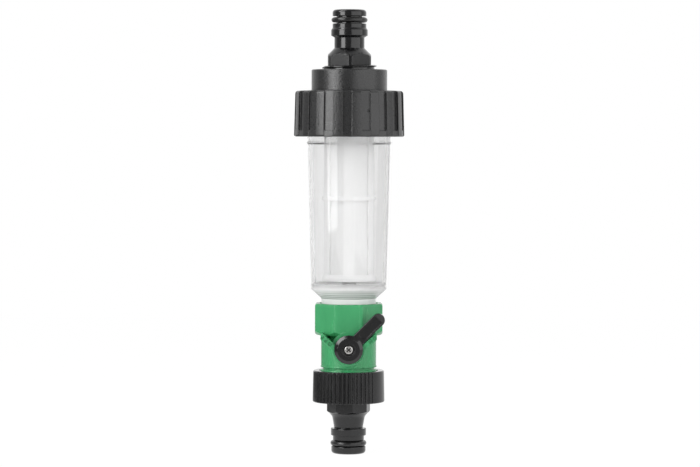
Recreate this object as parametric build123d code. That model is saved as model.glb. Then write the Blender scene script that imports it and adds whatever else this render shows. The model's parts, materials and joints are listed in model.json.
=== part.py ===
from build123d import *
from math import atan, cos, degrees, radians, sin, tan
import os

# Water filter for a garden hose, standing on its flow axis.
# Origin: centre of the inlet nipple's open end. +Z runs along the flow to the outlet.
# The valve's boss and lever face -Y. Millimetres.

# Clearances, on the radius or between faces
turning_gap = 0.05
seal_gap = 0.03
ball_gap = 0.08
screwed_gap = 0.15
sliding_gap = 0.3
face_gap = 0.1
loose_fit_gap = 0.05

# Roundings shared by many corners
fine_round = 0.2
edge_round = 0.3
soft_round = 0.5

# Longest share of a run that one corner's rounding may take
round_share = 0.48

# How near to a face or a plane an edge counts as lying on it
touch = 0.01

# Inlet nipple
inlet_bore_radius = 4.9
inlet_tip_radius = 8.3
inlet_tip_length = 3.55
inlet_tip_round = 1.5
inlet_groove_width = 2.9
inlet_ring_section = 2.55
inlet_ring_radius = 8.68
inlet_land_radius = 7.52
inlet_land_length = 2.3
inlet_ridge_radius = 8.5
inlet_ridge_length = 3.5
inlet_neck_radius = 6.92
inlet_neck_length = 5.65
flare_start_radius = 7.9
flare_length = 1.7
flare_end_radius = 9.35
flare_round = 3.0
ridge_bevel = 0.35

# Inlet adaptor: spanner collar and ribbed nut
collar_flats = 19.55
collar_turn = -79.3
collar_chamfer = 0.95
collar_height = 4.45
knurl_height = 15.2
knurl_radius = 17.35
knurl_taper = 0.3
knurl_top_round = 0.6
knurl_bottom_round = 0.5
knurl_grooves = 15
knurl_pitch = 7.05
knurl_first = -148.5
knurl_sectors = 2
knurl_groove_radius = 0.8
knurl_groove_depth = 0.6
adaptor_floor = 3.5
adaptor_mouth_radius = 14.25
adaptor_mouth_depth = 2.2

# Washer between adaptor and valve
adaptor_washer_thickness = 2.5
adaptor_washer_inner_radius = 6.5

# Valve body
valve_thread_radius = 13.2
valve_thread_crest_radius = 13.65
crest_height = 1.7
crest_overlap = 1.1
relief_radius = 12.3
relief_height = 1.0
lip_radius = 13.5
lip_height = 0.7
valve_body_radius = 13.25
valve_end_to_axis = 20.7
axis_to_collar = 5.75
octagon_flats = 32.45
octagon_height = 15.2
octagon_corner_round = 1.0
octagon_top_round = 1.2
octagon_bottom_radius = 15.7
octagon_bottom_height = 2.2
axis_to_socket_floor = 11.2
socket_mouth_radius = 14.1
socket_mouth_depth = 1.4

# Ball, seats and retainer
ball_radius = 8.5
ball_bore_radius = 5.0
ball_slot_width = 3.1
ball_slot_length = 8.2
ball_slot_depth = 2.4
chamber_gap = 0.25
seat_outer_step = 0.1
seat_inner_radius = 5.4
seat_reach = 9.4
seat_lip_reach = 5.6
retainer_bore_radius = 9.35
retainer_height = 4.5
retainer_key_width = 2.5
retainer_key_depth = 1.6

# Boss, stop fence and stem bore
boss_radius = 8.05
boss_front = 21.3
boss_step = 16.6
boss_edge_round = 0.8
boss_foot_round = 1.2
boss_recess_radius = 5.75
fence_angle = 42.5
fence_wall_offset = 2.86
fence_thickness = 2.8
fence_half_width = 13.4
fence_tip_round = 0.7
stem_radius = 4.0
stem_shoulder_radius = 5.2
stem_shoulder_thickness = 1.4
stem_square = 5.0
stem_tang_length = 7.6
stem_ring_section = 1.45
stem_groove_width = 1.8
stem_groove_spacing = 2.8
stem_groove_first = 1.8
screw_shank_radius = 1.25
screw_length = 8.0

# Lever
lever_rest_angle = 45.0
hub_radius = 6.85
hub_rim_thickness = 0.7
hub_bevel_radius = 5.55
hub_bevel_height = 1.0
hub_dome_height = 0.85
hub_spigot_gap = 0.25
lever_back_gap = 0.35
well_radius = 2.75
well_depth = 1.25
well_lip_width = 0.4
socket_web = 0.9
arm_reach = 19.9
arm_root_half_width = 2.95
arm_tip_radius = 3.12
arm_front_at_hub = 0.1
arm_front_rise = 1.1
arm_rim = 0.75
arm_channel_depth = 0.7
arm_channel_start = 8.2
arm_edge_round = 0.35
screw_head_radius = 2.05
screw_head_height = 1.2
screw_cross_width = 0.6
screw_cross_length = 2.6
screw_cross_depth = 0.7

# Washer between valve and cup
neck_washer_thickness = 2.0
neck_washer_inner_radius = 7.5

# Clear cup
neck_radius = 13.25
neck_screwed_radius = 13.1
neck_length = 10.1
neck_bore_radius = 9.0
cup_cone_height = 4.55
cup_bottom_radius = 18.2
cup_bottom_round = 1.2
cup_body_height = 69.7
cup_top_radius = 19.95
cup_wall = 1.85
cup_floor_radius = 14.9
cup_floor_height = 4.9
cup_corner_height = 1.6
cup_corner_round = 1.5
cup_throat_height = 0.9
cup_throat_round = 0.8
cup_shoulder_radius = 20.45
cup_shoulder_rise = 0.4
cup_shoulder_height = 0.7
cup_thread_root_radius = 20.1
cup_thread_height = 16.05
nut_over_shoulder = 2.5

# Cartridge
cage_radius = 12.35
cage_wall = 1.1
cage_ring_radius = 12.9
cage_ring_height = 1.9
cage_ribs = 6
cage_rib_angle = 24.0
cage_cap_height = 3.3
cage_cap_floor = 2.0
cage_cap_step = 0.6
cage_over_floor = 3.4
cage_to_ring = 39.0
cage_flange_radius = 13.6
cage_flange_height = 1.6
cage_flange_rise = 0.75
cage_window_margin = 1.4
cage_collar_length = 8.0
cage_collar_radius = 12.0
cage_collar_bore = 9.5
cage_seal_section = 1.8
cage_seal_groove = 2.1
mesh_wall = 0.25
plug_radius = 3.25
plug_height = 4.0
plug_shank_radius = 1.9
plug_shank_length = 2.4

# Head, its seal and the union nut
head_seal_thickness = 2.1
head_seal_inner_radius = 18.25
head_flange_radius = 20.7
head_flange_height = 4.0
head_neck_radius = 18.2
head_neck_height = 12.6
head_neck_round = 0.7
head_pilot_length = 2.6
head_spigot_radius = 15.0
head_shell = 2.0
head_bore_radius = 9.0
nut_radius_top = 26.0
nut_radius_bottom = 26.6
nut_roof = 2.6
nut_top_fall = 0.45
nut_round_top = 1.5
nut_round_bottom = 0.9
nut_bore_radius = 21.25
nut_ribs = 18
nut_first_recess = -92.2
nut_recess_width = 4.6
nut_recess_depth = 1.1
nut_band_height = 2.9
nut_band_recess = 0.35
nut_recess_round = 0.8

# Outlet nipple
outlet_thread_radius = 13.2
outlet_thread_root_radius = 12.1
thread_showing = 1.65
thread_in_port = 8.7
port_floor_gap = 0.8
hex_flats = 20.4
hex_round_radius = 11.35
hex_height = 4.55
hex_turn = -87.5
hex_corner_round = 0.5
hex_cone_height = 4.1
outlet_bore_radius = 4.9
outlet_neck_radius = 7.25
outlet_neck_length = 5.0
outlet_ridge_radius = 8.85
outlet_ridge_length = 2.7
outlet_ridge_bevel = 1.0
outlet_land_radius = 8.15
outlet_land_length = 2.05
outlet_groove_width = 3.5
outlet_ring_section = 2.5
outlet_ring_radius = 8.7
outlet_tip_radius = 8.15
outlet_tip_length = 3.2
outlet_tip_round = 1.5

# Heights of the seats, worked out from the bottom
inlet_groove_start = inlet_tip_length
inlet_land_start = inlet_groove_start + inlet_groove_width
inlet_ridge_start = inlet_land_start + inlet_land_length
inlet_neck_start = inlet_ridge_start + inlet_ridge_length
collar_bottom = inlet_neck_start + inlet_neck_length + flare_length
knurl_bottom = collar_bottom + collar_chamfer + collar_height
knurl_top = knurl_bottom + knurl_height
adaptor_washer_bottom = knurl_bottom + adaptor_floor
valve_end = adaptor_washer_bottom + adaptor_washer_thickness
valve_axis = valve_end + valve_end_to_axis
crest_bottom = knurl_top - crest_overlap
crest_top = crest_bottom + crest_height
lip_bottom = crest_top + relief_height
lip_top = lip_bottom + lip_height
octagon_bottom = valve_axis + axis_to_collar
octagon_top = octagon_bottom + octagon_height
socket_floor = valve_axis + axis_to_socket_floor
neck_end = socket_floor + neck_washer_thickness
cone_start = neck_end + neck_length
cone_end = cone_start + cup_cone_height
cup_body_top = cone_end + cup_body_height
cup_shoulder_bottom = cup_body_top + cup_shoulder_rise
cup_shoulder_top = cup_shoulder_bottom + cup_shoulder_height
cup_rim = cup_shoulder_top + cup_thread_height
cup_floor = cone_start + cup_floor_height
cage_bottom = cup_floor + cage_over_floor
flange_bottom = cup_rim + head_seal_thickness
flange_top = flange_bottom + head_flange_height
nut_shoulder = flange_top + face_gap
nut_top = nut_shoulder + nut_roof
nut_bottom = cup_shoulder_top + nut_over_shoulder
cage_flange_bottom = nut_bottom + cage_flange_rise
cage_flange_top = cage_flange_bottom + cage_flange_height
socket_top = cage_flange_top + cage_collar_length + face_gap
head_top = flange_top + head_neck_height
hex_bottom = head_top + thread_showing
hex_top = hex_bottom + hex_height
outlet_neck_start = hex_top + hex_cone_height
outlet_ridge_start = outlet_neck_start + outlet_neck_length
outlet_ridge_end = outlet_ridge_start + outlet_ridge_length + 2 * outlet_ridge_bevel
outlet_land_end = outlet_ridge_end + outlet_land_length
outlet_groove_end = outlet_land_end + outlet_groove_width
outlet_end = outlet_groove_end + outlet_tip_length

# The valve's cross axis points at -Y, with local Y upwards
boss_plane = Plane(origin=(0, 0, valve_axis), x_dir=(1, 0, 0), z_dir=(0, -1, 0))
lever_plane = Plane(
    origin=(0, 0, valve_axis),
    x_dir=(cos(radians(lever_rest_angle)), 0, sin(radians(lever_rest_angle))),
    z_dir=(0, -1, 0),
)
chamber_radius = ball_radius + chamber_gap
stem_shoulder_start = chamber_radius + loose_fit_gap
stem_shoulder_end = stem_shoulder_start + stem_shoulder_thickness
stem_bore_radius = stem_radius + turning_gap
hub_back = boss_front + sliding_gap
hub_bevel_foot = hub_back + hub_rim_thickness
hub_bevel_top = hub_bevel_foot + hub_bevel_height
hub_dome_top = hub_bevel_top + hub_dome_height
well_floor = hub_dome_top - well_depth
lever_back = boss_step + lever_back_gap
stem_square_start = boss_step + face_gap
stem_square_end = well_floor - socket_web - face_gap


def turned(*corners):
    """Solid turned about Z from corners given as radius, height and rounding.

    A rounding is held to what the two runs beside its corner leave room for.
    """
    points = [Vector(radius, 0, height) for radius, height, rounding in corners]
    rounds = []
    for index, (radius, height, rounding) in enumerate(corners):
        before = points[index] - points[index - 1]
        after = points[(index + 1) % len(points)] - points[index]
        turn = radians(before.get_angle(after))
        room = round_share * min(before.length, after.length)
        rounds.append(min(rounding, room / tan(turn / 2)))
    outline = FilletPolyline(*points, radius=rounds, close=True)
    return revolve(make_face(outline), Axis.Z)


def tube(outer_radius, inner_radius, bottom, top):
    """Plain ring between two heights."""
    return turned(
        (inner_radius, bottom, 0),
        (outer_radius, bottom, 0),
        (outer_radius, top, 0),
        (inner_radius, top, 0),
    )


def rod(radius, bottom, top):
    """Plain round bar between two heights."""
    return Pos(0, 0, bottom) * Cylinder(radius, top - bottom, align=(Align.CENTER, Align.CENTER, Align.MIN))


def prism(sketch, bottom, top):
    """Upright solid of a flat sketch between two heights."""
    return Pos(0, 0, bottom) * extrude(sketch, amount=top - bottom)


def ring_seal(outer_radius, section, height):
    """Round-section seal ring, centred on a height."""
    return Pos(0, 0, height) * Torus(outer_radius - section / 2, section / 2)


def inlet_adaptor():
    """Nipple, spanner collar and ribbed nut in one moulding."""
    nipple = turned(
        (0, 0, 0),
        (inlet_tip_radius, 0, inlet_tip_round),
        (inlet_tip_radius, inlet_groove_start, edge_round),
        (inlet_ring_radius - inlet_ring_section, inlet_groove_start, 0),
        (inlet_ring_radius - inlet_ring_section, inlet_land_start, 0),
        (inlet_land_radius, inlet_land_start, edge_round),
        (inlet_land_radius, inlet_ridge_start, 0),
        (inlet_ridge_radius, inlet_ridge_start, ridge_bevel),
        (inlet_ridge_radius, inlet_neck_start, ridge_bevel),
        (inlet_neck_radius, inlet_neck_start, 0),
        (flare_start_radius, inlet_neck_start + inlet_neck_length, flare_round),
        (flare_end_radius, collar_bottom, 0),
        (flare_end_radius, knurl_bottom + adaptor_floor / 2, 0),
        (0, knurl_bottom + adaptor_floor / 2, 0),
    )
    corner_radius = collar_flats / 2 / cos(radians(180 / 8))
    octagon = RegularPolygon(corner_radius, 8, rotation=collar_turn)
    collar = prism(octagon, collar_bottom, knurl_bottom + adaptor_floor / 2)
    cone = turned(
        (0, collar_bottom, 0),
        (flare_end_radius, collar_bottom, 0),
        (corner_radius, collar_bottom + collar_chamfer, 0),
        (corner_radius, knurl_bottom + adaptor_floor / 2, 0),
        (0, knurl_bottom + adaptor_floor / 2, 0),
    )
    nut = turned(
        (0, knurl_bottom, 0),
        (knurl_radius, knurl_bottom, knurl_bottom_round),
        (knurl_radius - knurl_taper, knurl_top, knurl_top_round),
        (adaptor_mouth_radius, knurl_top, 0),
        (adaptor_mouth_radius, knurl_top - adaptor_mouth_depth, 0),
        (valve_thread_radius + screwed_gap, knurl_top - adaptor_mouth_depth, 0),
        (valve_thread_radius + screwed_gap, adaptor_washer_bottom, 0),
        (0, adaptor_washer_bottom, 0),
    )
    body = nipple + (collar & cone) + nut
    body -= rod(inlet_bore_radius, 0, adaptor_washer_bottom)
    groove_place = knurl_radius - knurl_taper / 2 + knurl_groove_radius - knurl_groove_depth
    lean = degrees(atan(knurl_taper / knurl_height))
    groove = Rot(0, -lean, 0) * Cylinder(knurl_groove_radius, 2 * knurl_height)
    groove_middle = (knurl_bottom + knurl_top) / 2
    angles = [
        knurl_first + step * knurl_pitch + sector * 360 / knurl_sectors
        for sector in range(knurl_sectors)
        for step in range(knurl_grooves)
    ]
    return body - [Rot(0, 0, angle) * Pos(groove_place, 0, groove_middle) * groove for angle in angles]


def fence_sketch(offset):
    """Half-plane wedge below the two stop walls, at a distance under the valve's cross axis."""
    slope = tan(radians(fence_angle))
    apex = -offset / cos(radians(fence_angle))
    reach = 2 * fence_half_width
    return make_face(
        Polyline(
            (0, apex),
            (reach, apex + reach * slope),
            (reach, -reach),
            (-reach, -reach),
            (-reach, apex + reach * slope),
            close=True,
        )
    )


def fence_arms():
    """Plan of the V-shaped fence: a band between its stop walls and its outer edge."""
    band = fence_sketch(fence_wall_offset) - fence_sketch(fence_wall_offset + fence_thickness)
    limit = Rectangle(2 * fence_half_width, 4 * fence_half_width)
    arms = band & limit
    tips = arms.vertices().filter_by(lambda v: abs(v.X) > fence_half_width - touch)
    return fillet(tips, fence_tip_round)


def boss_foot(body):
    """Edges where the stem boss runs into the valve's barrel."""
    return [
        edge
        for edge in body.edges()
        if all(
            abs(Vector(point.X, 0, point.Z - valve_axis).length - boss_radius) < touch
            and abs(Vector(point.X, point.Y).length - valve_body_radius) < touch
            for point in (edge @ 0.25, edge @ 0.5, edge @ 0.75)
        )
    ]


def valve_body():
    """Green moulding: thread, ball chamber, stem boss, stop fence and octagonal collar."""
    barrel = turned(
        (0, valve_end, 0),
        (valve_thread_radius, valve_end, soft_round),
        (valve_thread_radius, crest_bottom, 0),
        (valve_thread_crest_radius, crest_bottom, soft_round),
        (valve_thread_crest_radius, crest_top, soft_round),
        (relief_radius, crest_top, 0),
        (relief_radius, lip_bottom, 0),
        (lip_radius, lip_bottom, fine_round),
        (lip_radius, lip_top, edge_round),
        (valve_body_radius, lip_top, 0),
        (valve_body_radius, octagon_top - octagon_top_round, 0),
        (0, octagon_top - octagon_top_round, 0),
    )
    boss = boss_plane.location * rod(boss_radius, 0, boss_step)
    foot = boss_foot(barrel + boss)
    barrel = fillet(foot, boss_foot_round)
    corner_radius = octagon_flats / 2 / cos(radians(180 / 8))
    plan = RegularPolygon(corner_radius, 8, rotation=180 / 8)
    plan = fillet(plan.vertices(), octagon_corner_round)
    octagon = prism(plan, octagon_bottom, octagon_top)
    envelope = turned(
        (0, octagon_bottom, 0),
        (octagon_bottom_radius, octagon_bottom, soft_round),
        (corner_radius, octagon_bottom + octagon_bottom_height, 0),
        (corner_radius, octagon_top, octagon_top_round),
        (0, octagon_top, 0),
    )
    rim = [edge for edge in octagon.edges() if edge.center().Z > octagon_top - touch]
    octagon = fillet(rim, octagon_top_round) & envelope

    front = Circle(boss_radius) & fence_sketch(fence_wall_offset)
    plate = prism(front + fence_arms(), 0, boss_front)
    face_edges = [edge for edge in plate.edges() if edge.center().Z > boss_front - touch]
    plate = chamfer(face_edges, boss_edge_round / 2)

    body = barrel + octagon + boss_plane.location * plate
    body -= rod(retainer_bore_radius, valve_end, valve_axis - seat_reach)
    body -= rod(chamber_radius, valve_axis - seat_reach, valve_axis + seat_reach)
    body -= rod(seat_inner_radius, valve_axis, socket_floor)
    body -= rod(neck_screwed_radius + screwed_gap, socket_floor, octagon_top)
    body -= rod(socket_mouth_radius, octagon_top - socket_mouth_depth, octagon_top)
    shoulder_bore = rod(stem_shoulder_radius + turning_gap, 0, stem_shoulder_end + turning_gap)
    stem_bore = rod(stem_bore_radius, 0, boss_front)
    recess = rod(boss_recess_radius, boss_step, boss_front)
    return body - boss_plane.location * (shoulder_bore + stem_bore + recess)


def seat(direction):
    """Ring with a hollow face that follows the ball, above or below it."""
    ring = tube(
        chamber_radius - seat_outer_step,
        seat_inner_radius,
        seat_lip_reach,
        seat_reach,
    )
    ring -= Sphere(ball_radius + ball_gap)
    if direction < 0:
        ring = Rot(180, 0, 0) * ring
    return Pos(0, 0, valve_axis) * ring


def seat_retainer():
    """Screwed ring that holds the lower seat, with two key slots below."""
    top = valve_axis - seat_reach
    ring = tube(retainer_bore_radius - screwed_gap, seat_inner_radius, top - retainer_height, top)
    key = Box(
        2 * retainer_bore_radius,
        retainer_key_width,
        retainer_key_depth,
        align=(Align.CENTER, Align.CENTER, Align.MIN),
    )
    return ring - Pos(0, 0, top - retainer_height) * key


def valve_ball():
    """Bored ball with a slot for the stem's tang. The bore lies along the flow when open."""
    ball = Sphere(ball_radius) - Cylinder(ball_bore_radius, 3 * ball_radius)
    slot = Pos(0, 0, ball_radius - ball_slot_depth) * Box(
        ball_slot_length,
        ball_slot_width,
        ball_radius,
        align=(Align.CENTER, Align.CENTER, Align.MIN),
    )
    return boss_plane.location * (Rot(90, 0, 0) * ball - slot)


def stem_grooves():
    """Middles of the two seal grooves along the stem."""
    first = stem_shoulder_end + stem_groove_first
    return [first, first + stem_groove_spacing]


def valve_stem():
    """Stem with a tang, a shoulder, two seal grooves and a square drive."""
    stem = rod(stem_shoulder_radius, stem_shoulder_start, stem_shoulder_end)
    stem += rod(stem_radius, stem_shoulder_start, stem_square_start)
    floor_radius = stem_bore_radius - seal_gap - stem_ring_section
    for middle in stem_grooves():
        half = stem_groove_width / 2
        stem -= tube(stem_shoulder_radius, floor_radius, middle - half, middle + half)
    tang_bottom = ball_radius - ball_slot_depth + loose_fit_gap
    stem += Pos(0, 0, tang_bottom) * Box(
        stem_tang_length,
        ball_slot_width - 2 * loose_fit_gap,
        stem_shoulder_start - tang_bottom + loose_fit_gap,
        align=(Align.CENTER, Align.CENTER, Align.MIN),
    )
    square = Rectangle(stem_square, stem_square)
    stem += Rot(0, 0, lever_rest_angle) * prism(square, stem_square_start, stem_square_end)
    stem -= rod(screw_shank_radius, stem_square_end - screw_length, stem_square_end)
    return boss_plane.location * stem


def stem_o_ring(index):
    """Seal ring in one of the stem's grooves."""
    ring = ring_seal(stem_bore_radius - seal_gap, stem_ring_section, stem_grooves()[index])
    return boss_plane.location * ring


def lever():
    """Domed hub with a square socket and a channelled arm, built along its own arm."""
    spigot_radius = boss_recess_radius - hub_spigot_gap
    hub = turned(
        (0, lever_back, 0),
        (spigot_radius, lever_back, edge_round),
        (spigot_radius, hub_back, 0),
        (hub_radius, hub_back, fine_round),
        (hub_radius, hub_bevel_foot, edge_round),
        (hub_bevel_radius, hub_bevel_top, fine_round),
        (well_radius + well_lip_width, hub_dome_top, soft_round),
        (0, hub_dome_top, 0),
    )
    arm_plan = make_face(
        Polyline(
            (0, -arm_root_half_width),
            (arm_reach, -arm_tip_radius),
            (arm_reach, arm_tip_radius),
            (0, arm_root_half_width),
            close=True,
        )
    )
    arm_plan += Pos(arm_reach, 0) * Circle(arm_tip_radius)
    arm = prism(arm_plan, lever_back, hub_dome_top + arm_front_rise)
    arm_end = arm_reach + arm_tip_radius
    front_low = hub_back + arm_front_at_hub
    slope = arm_front_rise / (arm_end - hub_radius)
    front = Plane(
        origin=(hub_radius, 0, front_low),
        x_dir=(1, 0, slope),
        z_dir=(-slope, 0, 1),
    )
    above = front.location * Box(
        4 * arm_end,
        4 * arm_tip_radius,
        2 * arm_tip_radius,
        align=(Align.CENTER, Align.CENTER, Align.MIN),
    )
    arm -= above
    front_face = arm.faces().sort_by(Axis.Z)[-1]
    arm = fillet([edge for edge in front_face.edges() if edge.center().X > touch], arm_edge_round)
    channel_length = arm_reach - arm_channel_start + arm_tip_radius - arm_rim
    channel_plan = SlotOverall(channel_length, 2 * (arm_root_half_width - arm_rim))
    middle = arm_channel_start + channel_length / 2
    channel = front.location * Pos(middle - hub_radius, 0, -arm_channel_depth) * extrude(
        channel_plan, amount=3 * arm_channel_depth
    )
    arm -= channel
    body = hub + arm
    square = Rectangle(stem_square + 2 * loose_fit_gap, stem_square + 2 * loose_fit_gap)
    body -= prism(square, lever_back, well_floor - socket_web)
    body -= rod(well_radius, well_floor, hub_dome_top)
    body -= rod(screw_shank_radius + screwed_gap, lever_back, hub_dome_top)
    return lever_plane.location * body


def lever_screw():
    """Cross-recess screw in the lever's well."""
    head_front = well_floor + screw_head_height
    screw = turned(
        (0, well_floor, 0),
        (screw_head_radius, well_floor, 0),
        (screw_head_radius, head_front, soft_round),
        (0, head_front, 0),
    )
    screw += rod(screw_shank_radius, stem_square_end - screw_length, well_floor)
    bar = Box(
        screw_cross_length,
        screw_cross_width,
        2 * screw_cross_depth,
    )
    cross = Pos(0, 0, head_front) * (bar + Rot(0, 0, 90) * bar)
    return lever_plane.location * (screw - cross)


def clear_cup():
    """Transparent cup: screwed neck, cone, tapered wall, lip and screwed mouth."""
    inner_top = cup_top_radius - cup_wall
    inner_low = cup_bottom_radius - cup_wall
    return turned(
        (neck_bore_radius, neck_end, 0),
        (neck_screwed_radius, neck_end, soft_round),
        (neck_screwed_radius, octagon_top - socket_mouth_depth, 0),
        (neck_radius, octagon_top - socket_mouth_depth, 0),
        (neck_radius, cone_start, edge_round),
        (cup_bottom_radius, cone_end, cup_bottom_round),
        (cup_top_radius, cup_body_top, edge_round),
        (cup_shoulder_radius, cup_shoulder_bottom, edge_round),
        (cup_shoulder_radius, cup_shoulder_top, edge_round),
        (cup_thread_root_radius, cup_shoulder_top, 0),
        (cup_thread_root_radius, cup_rim, soft_round),
        (inner_top, cup_rim, soft_round),
        (inner_low, cup_floor + cup_corner_height, cup_corner_round),
        (cup_floor_radius, cup_floor, soft_round),
        (neck_bore_radius, cone_start + cup_throat_height, cup_throat_round),
    )


def cartridge_cage():
    """White cage: end cap, ribs, middle ring, flange and plug-in collar."""
    wall_radius = cage_radius - cage_wall
    top = cage_flange_top + cage_collar_length
    ring_bottom = cage_bottom + cage_to_ring
    window_bottom = cage_bottom + cage_cap_height
    window_top = cage_flange_bottom - cage_window_margin
    body = tube(cage_radius, wall_radius, cage_bottom, cage_flange_top)
    rib_half = radians(cage_rib_angle / 2)
    gap_half = radians(180 / cage_ribs) - rib_half
    window = Pos(cage_radius, 0, 0) * Box(
        2 * cage_radius,
        2 * cage_radius * sin(gap_half),
        window_top - window_bottom,
        align=(Align.CENTER, Align.CENTER, Align.MIN),
    )
    for step in range(cage_ribs):
        angle = -90 + (step + 0.5) * 360 / cage_ribs
        body -= Rot(0, 0, angle) * Pos(0, 0, window_bottom) * window
    body += tube(cage_ring_radius, wall_radius, ring_bottom, ring_bottom + cage_ring_height)
    body += turned(
        (plug_shank_radius + loose_fit_gap, cage_bottom, 0),
        (cage_ring_radius, cage_bottom, soft_round),
        (cage_ring_radius, cage_bottom + cage_cap_height / 2, edge_round),
        (cage_radius, cage_bottom + cage_cap_height, 0),
        (wall_radius - cage_cap_step, cage_bottom + cage_cap_height, 0),
        (wall_radius - cage_cap_step, cage_bottom + cage_cap_floor, 0),
        (plug_shank_radius + loose_fit_gap, cage_bottom + cage_cap_floor, 0),
    )
    groove_middle = cage_flange_top + cage_collar_length / 2
    groove_floor = cage_collar_radius - cage_seal_section
    groove_low = groove_middle - cage_seal_groove / 2
    groove_high = groove_middle + cage_seal_groove / 2
    body += turned(
        (cage_collar_bore, cage_flange_bottom, 0),
        (cage_flange_radius, cage_flange_bottom, edge_round),
        (cage_flange_radius, cage_flange_top, edge_round),
        (cage_collar_radius, cage_flange_top, 0),
        (cage_collar_radius, groove_low, 0),
        (groove_floor, groove_low, 0),
        (groove_floor, groove_high, 0),
        (cage_collar_radius, groove_high, 0),
        (cage_collar_radius, top, soft_round),
        (cage_collar_bore, top, 0),
    )
    return body


def cartridge_mesh():
    """Fine mesh tube that lines the cage."""
    outer = cage_radius - cage_wall - loose_fit_gap
    return tube(outer, outer - mesh_wall, cage_bottom + cage_cap_height, cage_flange_bottom)


def cage_plug():
    """Dark stub pressed into the middle of the cage's end cap."""
    return turned(
        (0, cage_bottom - plug_height, 0),
        (plug_radius, cage_bottom - plug_height, soft_round),
        (plug_radius, cage_bottom, 0),
        (plug_shank_radius, cage_bottom, 0),
        (plug_shank_radius, cage_bottom + plug_shank_length, edge_round),
        (0, cage_bottom + plug_shank_length, 0),
    )


def filter_head():
    """Black head: neck, clamped flange, cage socket and screwed port, with a pocket round the socket."""
    port_radius = outlet_thread_radius + screwed_gap
    port_floor = head_top - thread_in_port - port_floor_gap
    socket_radius = cage_collar_radius + loose_fit_gap
    pilot_radius = cup_top_radius - cup_wall - sliding_gap
    inner_shell = head_neck_radius - head_shell
    outer = turned(
        (head_spigot_radius, cage_flange_top, edge_round),
        (head_spigot_radius, flange_bottom - head_pilot_length, 0),
        (pilot_radius, flange_bottom - head_pilot_length, edge_round),
        (pilot_radius, flange_bottom, 0),
        (head_flange_radius, flange_bottom, edge_round),
        (head_flange_radius, flange_top, edge_round),
        (head_neck_radius, flange_top, 0),
        (head_neck_radius, head_top, head_neck_round),
        (port_radius, head_top, edge_round),
        (port_radius, port_floor, 0),
        (head_bore_radius, port_floor, 0),
        (head_bore_radius, socket_top, 0),
        (socket_radius, socket_top, 0),
        (socket_radius, cage_flange_top, edge_round),
    )
    pocket_bottom = flange_bottom - head_pilot_length
    return outer - tube(inner_shell, head_spigot_radius, pocket_bottom, flange_top)


def union_nut():
    """Ribbed nut with a shoulder that bears on the head's flange."""
    nut = turned(
        (nut_bore_radius, nut_bottom, soft_round),
        (nut_radius_bottom, nut_bottom, nut_round_bottom),
        (nut_radius_top, nut_top - nut_top_fall, nut_round_top),
        (head_neck_radius + sliding_gap, nut_top, edge_round),
        (head_neck_radius + sliding_gap, nut_shoulder, 0),
        (nut_bore_radius, nut_shoulder, 0),
    )
    height = nut_top - nut_top_fall - nut_bottom
    panel = RectangleRounded(2 * height, nut_recess_width, nut_recess_round)
    deep = extrude(panel, amount=3 * nut_recess_depth)
    shallow = Rectangle(2 * height, nut_recess_width)
    shallow = extrude(shallow, amount=3 * nut_recess_depth)
    lean = (nut_radius_bottom - nut_radius_top) / height
    floors = []
    for depth in (nut_recess_depth, nut_band_recess):
        origin = (nut_radius_top - depth, 0, nut_top - nut_top_fall)
        floors.append(Plane(origin=origin, x_dir=(-lean, 0, 1), z_dir=(1, 0, lean)).location)
    recess = floors[0] * Pos(nut_band_height, 0, 0) * deep + floors[1] * shallow
    turns = [nut_first_recess + step * 360 / nut_ribs for step in range(nut_ribs)]
    return nut - [Rot(0, 0, turn) * recess for turn in turns]


def outlet_nipple():
    """Nipple with a hexagon and a screwed shank."""
    corner_radius = hex_flats / 2 / cos(radians(180 / 6))
    ring_floor = outlet_ring_radius - outlet_ring_section
    ridge_low = outlet_ridge_start + outlet_ridge_bevel
    ridge_high = outlet_ridge_end - outlet_ridge_bevel
    nipple = turned(
        (0, hex_bottom + hex_height / 2, 0),
        (outlet_neck_radius, hex_bottom + hex_height / 2, 0),
        (outlet_neck_radius, outlet_ridge_start, fine_round),
        (outlet_ridge_radius, ridge_low, edge_round),
        (outlet_ridge_radius, ridge_high, fine_round),
        (outlet_land_radius, outlet_ridge_end, fine_round),
        (outlet_land_radius, outlet_land_end, edge_round),
        (ring_floor, outlet_land_end, 0),
        (ring_floor, outlet_groove_end, 0),
        (outlet_tip_radius, outlet_groove_end, edge_round),
        (outlet_tip_radius, outlet_end, outlet_tip_round),
        (0, outlet_end, 0),
    )
    plan = RegularPolygon(corner_radius, 6, rotation=hex_turn) & Circle(hex_round_radius)
    plan = fillet(plan.vertices(), hex_corner_round)
    hexagon = prism(plan, hex_bottom, outlet_neck_start)
    envelope = turned(
        (0, hex_bottom, 0),
        (hex_round_radius, hex_bottom, 0),
        (hex_round_radius, hex_top, 0),
        (outlet_neck_radius, outlet_neck_start, 0),
        (0, outlet_neck_start, 0),
    )
    shank_end = head_top - thread_in_port
    shank = turned(
        (0, shank_end, 0),
        (outlet_thread_radius, shank_end, soft_round),
        (outlet_thread_radius, head_top, soft_round),
        (outlet_thread_root_radius, head_top, 0),
        (outlet_thread_root_radius, hex_bottom, 0),
        (0, hex_bottom, 0),
    )
    body = nipple + (hexagon & envelope) + shank
    return body - rod(outlet_bore_radius, shank_end, outlet_end)


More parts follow.
